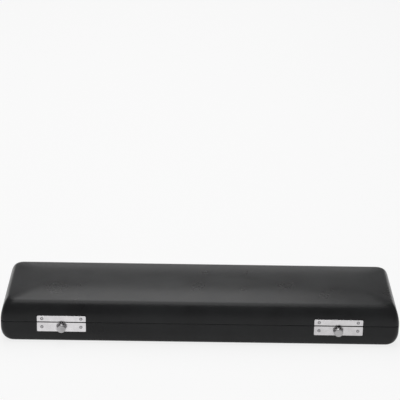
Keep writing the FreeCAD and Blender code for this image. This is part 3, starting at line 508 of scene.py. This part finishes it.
def make_base_skin():
    # Leatherette round the base: under its edge, up the walls and over the rim to the lining
    inside = BASE_WALL + HAIR
    rim = [(0, CORNER, BASE_TOP - WALL_STEP), (0, CORNER, BASE_TOP - RIM_SOFT),
           (SOFT_MIDDLE, CORNER - SOFT_CORNER, BASE_TOP - SOFT_MIDDLE),
           (RIM_SOFT, CORNER - RIM_SOFT, BASE_TOP),
           (BASE_WALL - INNER_SOFT, OPENING_CORNER, BASE_TOP),
           (inside, OPENING_CORNER, BASE_TOP - INNER_SOFT),
           (inside, OPENING_CORNER, BASE_TOP - BASE_TURN_IN + 2 * HAIR),
           (SKIN, CORNER, BASE_TOP - BASE_TURN_IN), (SKIN, CORNER, BASE_ROUND_TALL)]
    foot = [(UNDER_EDGE, CORNER, 0.0)]
    bm = wrapped(foot + base_round(0, 12) + rim + base_round(SKIN, 7)[::-1]
                 + [(UNDER_EDGE, CORNER, SKIN)] + foot)
    soften(bm, 50)
    wear(bm, "rubbed", rubbed_along(BASE_TOP - 0.2))
    # Painted shade: less reflection low on the base, for the floor's shadow beside it
    wear(bm, "matt", lambda p: min(max((UNSHADED_ABOVE - p.z) / (UNSHADED_ABOVE - SHADE_BELOW), 0.0), 1.0))
    piece = piece_from(bm, "base_skin", COVER_BLACK, "base", "leatherette", "base_cover")
    cutters = []
    for side in SIDES:
        # A slot in the rim for the latch's box
        low, high = box_of("latch_box_" + side)
        cutters.append(block_cutter((low[0] - HAIR, high[0] + HAIR),
                                    (low[1], -HALF_WIDTH + BASE_WALL + CUT_OVER),
                                    (BASE_TOP - RIM_CUT_DEEP, BASE_TOP + CUT_OVER)))
        # A window behind the lower plate for the knob's neck and the sliding catch
        low, high = box_of("latch_catch_" + side)
        cutters.append(block_cutter((low[0] - CATCH_ROOM, high[0] + CATCH_ROOM),
                                    (-HALF_WIDTH - CATCH_ROOM, -HALF_WIDTH + CATCH_ROOM + CUT_OVER),
                                    (low[2] - CATCH_ROOM, high[2] + CATCH_HEADROOM)))
    cut_by(piece, cutters)


make_lid_skin()
make_base_skin()


# Plush inside

# The lining wall's thickness, and its corner radii on the round top and inside
LINING, TOP_CORNER, LINING_CORNER = 1.5, 10.5, 10.0
# Its round top: steps in from its face and down from its top
ROUND_TOP = ((0, 1.0), (0.2, 0.4), (0.55, 0.05))
# Its notch for a latch's box: room beside and above the box, and how far the cut passes the wall's face
NOTCH_ROOM, NOTCH_HEADROOM, NOTCH_BEFORE, NOTCH_BEHIND = 0.2, 0.1, 2, 3
# The lid's plush: its outside, and how far its upper edge is cut away across and down
LID_PLUSH_OUT, SLOPE_WIDE, SLOPE_TALL = 4.7, 7.9, 8.0
# Its round foot: steps in from its outside and up from its foot
ROUND_FOOT = ((0, 0.7), (0.2, 0.25), (0.7, 0), (1.2, 0.3), (1.4, 1.0))
# Its hollow: places in from the case's outline and down from its top, up the wall, round the corner and
# along the ceiling, which swells towards the middle
LID_HOLLOW = ((6.2, 10.4), (6.35, 8.4), (6.9, 6.2), (8.0, 4.2), (9.8, 2.6), (12.2, 1.7), (15.0, 1.4),
              (19.0, 1.45), (25.0, 1.8), (32.0, 2.2), (40.0, 2.5))
MIDDLE_IN, MIDDLE_CORNER, MIDDLE_THICK = 48.0, 6.0, 2.6
# The fitted block's even mesh, and how many times its edges are smoothed
BLOCK_GRAIN, BLOCK_SMOOTHED = 1.3, 4


def lining_side(face, inwards, corner, low, high):
    """One side of the lining wall with its half of the round top, from the foot up."""
    corners = (corner, corner, TOP_CORNER)
    return [(face, corner, low)] + [(face + across * inwards, radius, high - down)
                                    for (across, down), radius in zip(ROUND_TOP, corners)]


def make_lip():
    # The plush-covered wall that stands above the rim and guides the lid
    low, high = (corner[2] for corner in box_of("base_lining"))
    outside = lining_side(BASE_WALL, 1, OPENING_CORNER, low, high)
    inside = lining_side(BASE_WALL + LINING, -1, LINING_CORNER, low, high)
    bm = wrapped(outside + inside[::-1] + outside[:1])
    soften(bm, 60)
    piece = piece_from(bm, "lip_plush", PILE_BLUE, "base", "plush", "base_lining")
    cutters = []
    for side in SIDES:
        # The wall is notched round the latch's box
        box_low, box_high = box_of("latch_box_" + side)
        face = -HALF_WIDTH + BASE_WALL
        cutters.append(block_cutter((box_low[0] - NOTCH_ROOM, box_high[0] + NOTCH_ROOM),
                                    (face - NOTCH_BEFORE, face + NOTCH_BEHIND),
                                    (low - CUT_OVER, box_high[2] + NOTCH_HEADROOM)))
    cut_by(piece, cutters)


def make_lid_plush():
    # Plush over thin wadding inside the lid, swollen towards the middle
    low, high = (corner[2] for corner in box_of("lid_lining"))
    slope = [(HALF_WIDTH, 0, high), (LID_PLUSH_OUT + SLOPE_WIDE, OPENING_CORNER, high),
             (LID_PLUSH_OUT, OPENING_CORNER, high - SLOPE_TALL)]
    corners = (OPENING_CORNER, OPENING_CORNER, TOP_CORNER, LINING_CORNER, LINING_CORNER)
    foot = [(LID_PLUSH_OUT + across, radius, low + rise)
            for (across, rise), radius in zip(ROUND_FOOT, corners)]
    hollow = [(inset, LINING_CORNER, high - down) for inset, down in LID_HOLLOW]
    middle = [(MIDDLE_IN, MIDDLE_CORNER, high - MIDDLE_THICK), (HALF_WIDTH, 0, high - MIDDLE_THICK)]
    bm = wrapped(slope + foot + hollow + middle)
    soften(bm, 60)
    piece = piece_from(bm, "lid_plush", LID_PILE_BLUE, "lid", "plush", "lid_lining")


def make_insert():
    # The fitted block: foam with hollows for the three joints, plush drawn tight over all its edges
    bm = bmesh.new()
    bm.from_mesh(nodes["insert_block"].data)
    bmesh.ops.remove_doubles(bm, verts=bm.verts, dist=1e-6)
    helper = evened(bm, BLOCK_GRAIN)
    bm = bmesh.new()
    bm.from_mesh(helper.data)
    bpy.data.objects.remove(helper)
    for _ in range(BLOCK_SMOOTHED):
        bmesh.ops.smooth_vert(bm, verts=bm.verts, factor=0.5, use_axis_x=True, use_axis_y=True,
                              use_axis_z=True)
    soften(bm, 180)
    piece = piece_from(bm, "insert_plush", PILE_BLUE, "base", "plush", "insert_block")


make_lip()
make_lid_plush()
make_insert()


# Plates, knobs and screws

# Screw heads at the front and at the hinges, and their cross recess
HEAD_RADIUS, HEAD_RISE = 1.75, 0.2
HINGE_HEAD_RADIUS, HINGE_HEAD_RISE = 1.5, 0.15
RECESS_REACH, RECESS_HALF, RECESS_DEEP = 0.62, 0.19, 0.35
# Where the screws sit on a latch plate and on a hinge leaf
SCREW_FROM_END, HINGE_SCREW_FROM_END, HINGE_SCREW_FROM_EDGE, LEAF_THICK = 4.9, 5, 2.9, 1.0
# The knob's neck, the hole as stamped and as it fits, and how much of an upper plate is filed away
NECK, HOLE, NEAT_HOLE, FILED = 2.8, 4.5, 3.7, 0.3
# A plate's corner with a little room, its softened edges, and how far the painted seam shade reaches up its
# ends
PLATE_CORNER, EDGE_SOFT, SEAM_REACH = 1.02, 0.3, 0.45
# How much darker the right-hand plates' faces are made
DULL = {"lid": 0.1, "base": 0.18}
# The springs' riveted feet, their softened edges and the latches' travel
SPRING_FOOT, SPRING_SOFT, PUSH = -44.9, 0.05, 1.4


def bevelled_copy(node, width_mm, trim=lambda p: p):
    """A merged copy of a stamped part with softened edges; trim moves its points, in millimetres."""
    bm = bmesh.new()
    bm.from_mesh(nodes[node].data)
    bmesh.ops.remove_doubles(bm, verts=bm.verts, dist=1e-6)
    for vert in bm.verts:
        vert.co = trim(vert.co / MM) * MM
    bmesh.ops.dissolve_limit(bm, angle_limit=math.radians(2), verts=bm.verts, edges=bm.edges)
    sharp = [edge for edge in bm.edges if edge.calc_face_angle(0) > math.radians(50)]
    bmesh.ops.bevel(bm, geom=sharp, offset=width_mm * MM, offset_type="OFFSET", segments=3, profile=0.5,
                    affect="EDGES", clamp_overlap=True, material=-1)
    soften(bm, 35)
    return bm


def screw_head(radius, rise):
    """A countersunk head that faces forward, its flat at y 0, with a cross recess."""
    bm = turned([(0, -rise), (radius * 0.5, -rise * 0.8), (radius * 0.86, -rise * 0.35), (radius, 0.02),
                 (radius * 0.96, 0.25), (radius * 0.5, 0.7), (0, 0.7)], 20)
    soften(bm, 40)
    head = loose(bm)
    arm = radius * RECESS_REACH
    long_way, short_way = (-arm, arm), (-RECESS_HALF, RECESS_HALF)
    cut_by(head, [block_cutter(long_way, (-CUT_OVER, RECESS_DEEP), short_way),
                  block_cutter(short_way, (-CUT_OVER, RECESS_DEEP), long_way)])
    return head


def screws(name, head, places, body, material, facing=1):
    """Copies of one head at several places, each turned a little differently, as one piece."""
    bm = bmesh.new()
    for number, (x, y, z) in enumerate(places):
        before = len(bm.verts)
        bm.from_mesh(head.data)
        bm.verts.ensure_lookup_table()
        turn = Matrix.Rotation(0.45 + 0.9 * number + x, 4, "Y")
        if facing < 0:
            turn = Matrix.Rotation(math.pi, 4, "Z") @ turn
        place = Matrix.Translation(Vector((x, y, z)) * MM)
        bmesh.ops.transform(bm, matrix=place @ turn, verts=bm.verts[before:])
    soften(bm, 40)
    piece_from(bm, name, material, body, "nickel")


def make_knob(side):
    # Turned push knob: a flat-topped mushroom head on a narrower neck
    low, high = box_of("latch_knob_" + side)
    front, back, radius = low[1], high[1], (high[0] - low[0]) / 2
    # The head in shares of its radius and millimetres behind its front
    head = [(0, 0), (0.4, 0.02), (0.74, 0.08), (0.84, 0.2), (0.92, 0.45), (0.975, 0.8), (1, 1.15), (1, 1.45),
            (0.95, 1.65), (0.8, 1.85)]
    bm = turned([(radius * share, front + y) for share, y in head]
                + [(NECK + 0.05, front + 2.0), (NECK, front + 2.3), (NECK, back), (0, back)], 48)
    bmesh.ops.translate(bm, vec=(middle_of("latch_knob_" + side) * MM, 0, KNOB_HEIGHT * MM), verts=bm.verts)
    soften(bm, 50)
    piece_from(bm, "knob_" + side, KNOB_NICKEL, "latch_" + side, "nickel", "latch_knob_" + side)


def make_plate(plate, side, body, label, head):
    # A stamped plate with rounded edges, held by two screws
    low, high = box_of(plate + side)
    foot = low[2] if body == "base" else BASE_TOP + PLATE_SEAM
    knob = Vector((middle_of("latch_knob_" + side), KNOB_HEIGHT))
    dull = DULL[body] if side == "right" else 0.0

    def trim_upper(p):
        # The upper plate's foot is filed back in front, and its head sits a little low in the leatherette
        lift = (-FILED if p.z > high[2] - PLATE_CORNER else
                FILED if p.y < PLATE_FACE + HAIR and p.z < foot + HAIR else 0.0)
        return p + Vector((0, 0, lift))

    def trim_lower(p):
        # The hole fits more closely round the knob's neck than the stamping's rough hole
        away = Vector((p.x, p.z)) - knob
        if away.length > HOLE + 0.1:
            return p
        x, z = knob + away * NEAT_HOLE / HOLE
        return Vector((x, p.y, z))

    # Painted shade on the plate's edges and hole by the seam's gap; the front face and left end only get the
    # plate's darkening
    def painted_seam_shade_and_dull(p):
        off_seam = abs(p.z - BASE_TOP - PLATE_SEAM / 2) > PLATE_SEAM / 2 + SEAM_REACH
        outer_edge = p.x > high[0] - HAIR or p.z < low[2] + HAIR or p.z > high[2] - FILED - HAIR
        out_of_shade = p.y < PLATE_FACE + HAIR or p.x < low[0] + HAIR or (outer_edge and off_seam)
        return dull if out_of_shade else 1.0

    stamped = bevelled_copy(plate + side, EDGE_SOFT, trim_upper if body == "lid" else trim_lower)
    wear(stamped, "painted_seam_shade_and_dull", painted_seam_shade_and_dull)
    piece_from(stamped, f"{label}_plate_{side}", BRIGHT_NICKEL, body, "nickel", plate + side)
    ends = (low[0] + SCREW_FROM_END, high[0] - SCREW_FROM_END)
    screws(f"{label}_screws_{side}", head, [(x, PLATE_FACE, (foot + high[2]) / 2) for x in ends], body,
           SCREW_NICKEL)


front_head = screw_head(HEAD_RADIUS, HEAD_RISE)
for side in SIDES:
    make_knob(side)
    make_plate("latch_plate_", side, "base", "lower", front_head)
    make_plate("strike_plate_", side, "lid", "upper", front_head)
bpy.data.objects.remove(front_head)

for side in SIDES:
    # The leaf spring, riveted at its foot, as a copy with softened edges
    low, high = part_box("latch_spring_" + side)
    leaf = piece_from(bevelled_copy("latch_spring_" + side, SPRING_SOFT), "leaf_spring_" + side,
                      STRIP_STEEL, "base", "steel", "latch_spring_" + side)
    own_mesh(leaf)

hinge_head = screw_head(HINGE_HEAD_RADIUS, HINGE_HEAD_RISE)
for side in SIDES:
    for body in ("base", "lid"):
        low, high = box_of(f"hinge_leaf_{body}_{side}")
        level = low[2] + HINGE_SCREW_FROM_EDGE if body == "base" else high[2] - HINGE_SCREW_FROM_EDGE
        screws(f"hinge_screws_{body}_{side}", hinge_head,
               [(x, low[1] + LEAF_THICK, level)
                for x in (low[0] + HINGE_SCREW_FROM_END, high[0] - HINGE_SCREW_FROM_END)],
               body, HINGE_NICKEL, -1)
bpy.data.objects.remove(hinge_head)


# Finishes of the carried-over parts

CARRIED = {"base_shell": LIMEWOOD, "lid_shell": LIMEWOOD, "base_underside": UNDER_CLOTH,
           "latch_box": STRIP_STEEL, "latch_catch": BRIGHT_NICKEL, "hinge_leaf": HINGE_NICKEL,
           "hinge_pin": STRIP_STEEL}
for name, node in nodes.items():
    for start, material in CARRIED.items():
        if name.startswith(start):
            node.data.materials.clear()
            node.data.materials.append(material)


# Floor, light and camera

# The white paper under and behind the case, in metres
FLOOR_WIDE, BACKDROP_WIDE, BACKDROP_TALL, BACKDROP_BEHIND = 12, 9, 0.9, 2.4
# How far the camera and mirrors see each sheet as plain white, and the room's own dim light
FLOOR_SHARE, BACKDROP_SHARE, ROOM_LIGHT = 0.82, 0.35, 0.17
# The softbox over the case, in metres, and how bright its face is
SOFTBOX_WIDE, SOFTBOX_DEEP, SOFTBOX_PLACE, SOFTBOX_BRIGHT = 0.8, 3.25, (-0.095, 0.32, 1.35), 3.0
# The camera, found from the case's outline in the picture
PICTURE, SENSOR = 400, 36
PITCH, YAW, ROLL = math.radians(25.6), -0.0105, 0.0191
FOCAL_PIXELS, DISTANCE, AIM_HEIGHT, AIM_BELOW = 1600.0, 1655.6 * MM, 20 * MM, 102
SHIFT_X, SHIFT_Z = 1.852, 2.71


def studio_white(name, share):
    """Matt white paper; share is how far the camera and mirrors see it as plain white."""
    finish, tree, _ = new_finish(name)
    matt = put(tree, "BsdfDiffuse", {}, {"Color": light_of("#e8e8e8")})
    glow = put(tree, "Emission", {}, {"Color": (1, 1, 1, 1), "Strength": 1.0})
    rays = put(tree, "LightPath", {}, {})
    seen = put(tree, "Math", {"operation": "MAXIMUM"},
               {0: rays.outputs["Is Camera Ray"], 1: rays.outputs["Is Glossy Ray"]})
    through = put(tree, "Math", {"operation": "MAXIMUM"},
                  {0: seen.outputs[0], 1: rays.outputs["Is Transmission Ray"]})
    part = put(tree, "Math", {"operation": "MULTIPLY"}, {0: through.outputs[0], 1: share})
    mixed = put(tree, "MixShader", {}, {0: part.outputs[0], 1: matt.outputs[0], 2: glow.outputs[0]})
    put(tree, "OutputMaterial", {}, {"Surface": mixed.outputs[0]})
    return finish


def sheet_of_paper(name, wide, deep, share):
    """A flat sheet of the given width and depth, in metres, round the origin."""
    bm = bmesh.new()
    bmesh.ops.create_grid(bm, x_segments=1, y_segments=1, size=0.5)
    bmesh.ops.scale(bm, vec=(wide, deep, 1), verts=bm.verts)
    sheet = loose(bm, name)
    sheet.data.materials.append(studio_white(name + " white", share))
    return sheet


sheet_of_paper("floor", FLOOR_WIDE, FLOOR_WIDE, FLOOR_SHARE)
backdrop = sheet_of_paper("backdrop", BACKDROP_WIDE, BACKDROP_TALL, BACKDROP_SHARE)
upright = Matrix.Rotation(math.pi / 2, 4, "X")
backdrop.matrix_world = Matrix.Translation((0, BACKDROP_BEHIND, BACKDROP_TALL / 2)) @ upright

world = bpy.data.worlds.new("room")
bpy.context.scene.world = world
world.use_nodes = True
world.node_tree.nodes.clear()
room = put(world.node_tree, "Background", {}, {"Color": (1, 1, 1, 1), "Strength": ROOM_LIGHT})
put(world.node_tree, "OutputWorld", {}, {"Surface": room.outputs[0]})

softbox_light = bpy.data.lights.new("softbox", "AREA")
softbox_light.shape = "RECTANGLE"
softbox_light.size, softbox_light.size_y = SOFTBOX_WIDE, SOFTBOX_DEEP
softbox_light.energy = SOFTBOX_BRIGHT * math.pi * SOFTBOX_WIDE * SOFTBOX_DEEP
softbox = bpy.data.objects.new("softbox", softbox_light)
bpy.context.scene.collection.objects.link(softbox)
softbox.location = SOFTBOX_PLACE


def towards_camera(pitch):
    """The direction from the case to the camera, at a pitch."""
    return Vector((math.sin(YAW) * math.cos(pitch), -math.cos(YAW) * math.cos(pitch), math.sin(pitch)))


# The case lies below the middle of the picture, so the camera looks over it
forward = -towards_camera(PITCH - math.atan(AIM_BELOW / FOCAL_PIXELS))
right = forward.cross(Vector((0, 0, 1))).normalized()
up = right.cross(forward)
rolled_right = math.cos(ROLL) * right + math.sin(ROLL) * up
rolled_up = math.cos(ROLL) * up - math.sin(ROLL) * right
axes = Matrix((rolled_right, rolled_up, -forward)).transposed().to_4x4()
camera_data = bpy.data.cameras.new("camera")
camera_data.sensor_width = SENSOR
camera_data.lens = FOCAL_PIXELS / PICTURE * SENSOR
camera_data.shift_x, camera_data.shift_y = -SHIFT_X / PICTURE, SHIFT_Z / PICTURE
camera_data.clip_end = 50
camera = bpy.data.objects.new("camera", camera_data)
bpy.context.scene.collection.objects.link(camera)
camera.matrix_world = Matrix.Translation(Vector((0, 0, AIM_HEIGHT)) + DISTANCE * towards_camera(PITCH)) @ axes
bpy.context.scene.camera = camera
bpy.context.scene.view_settings.view_transform = "Standard"
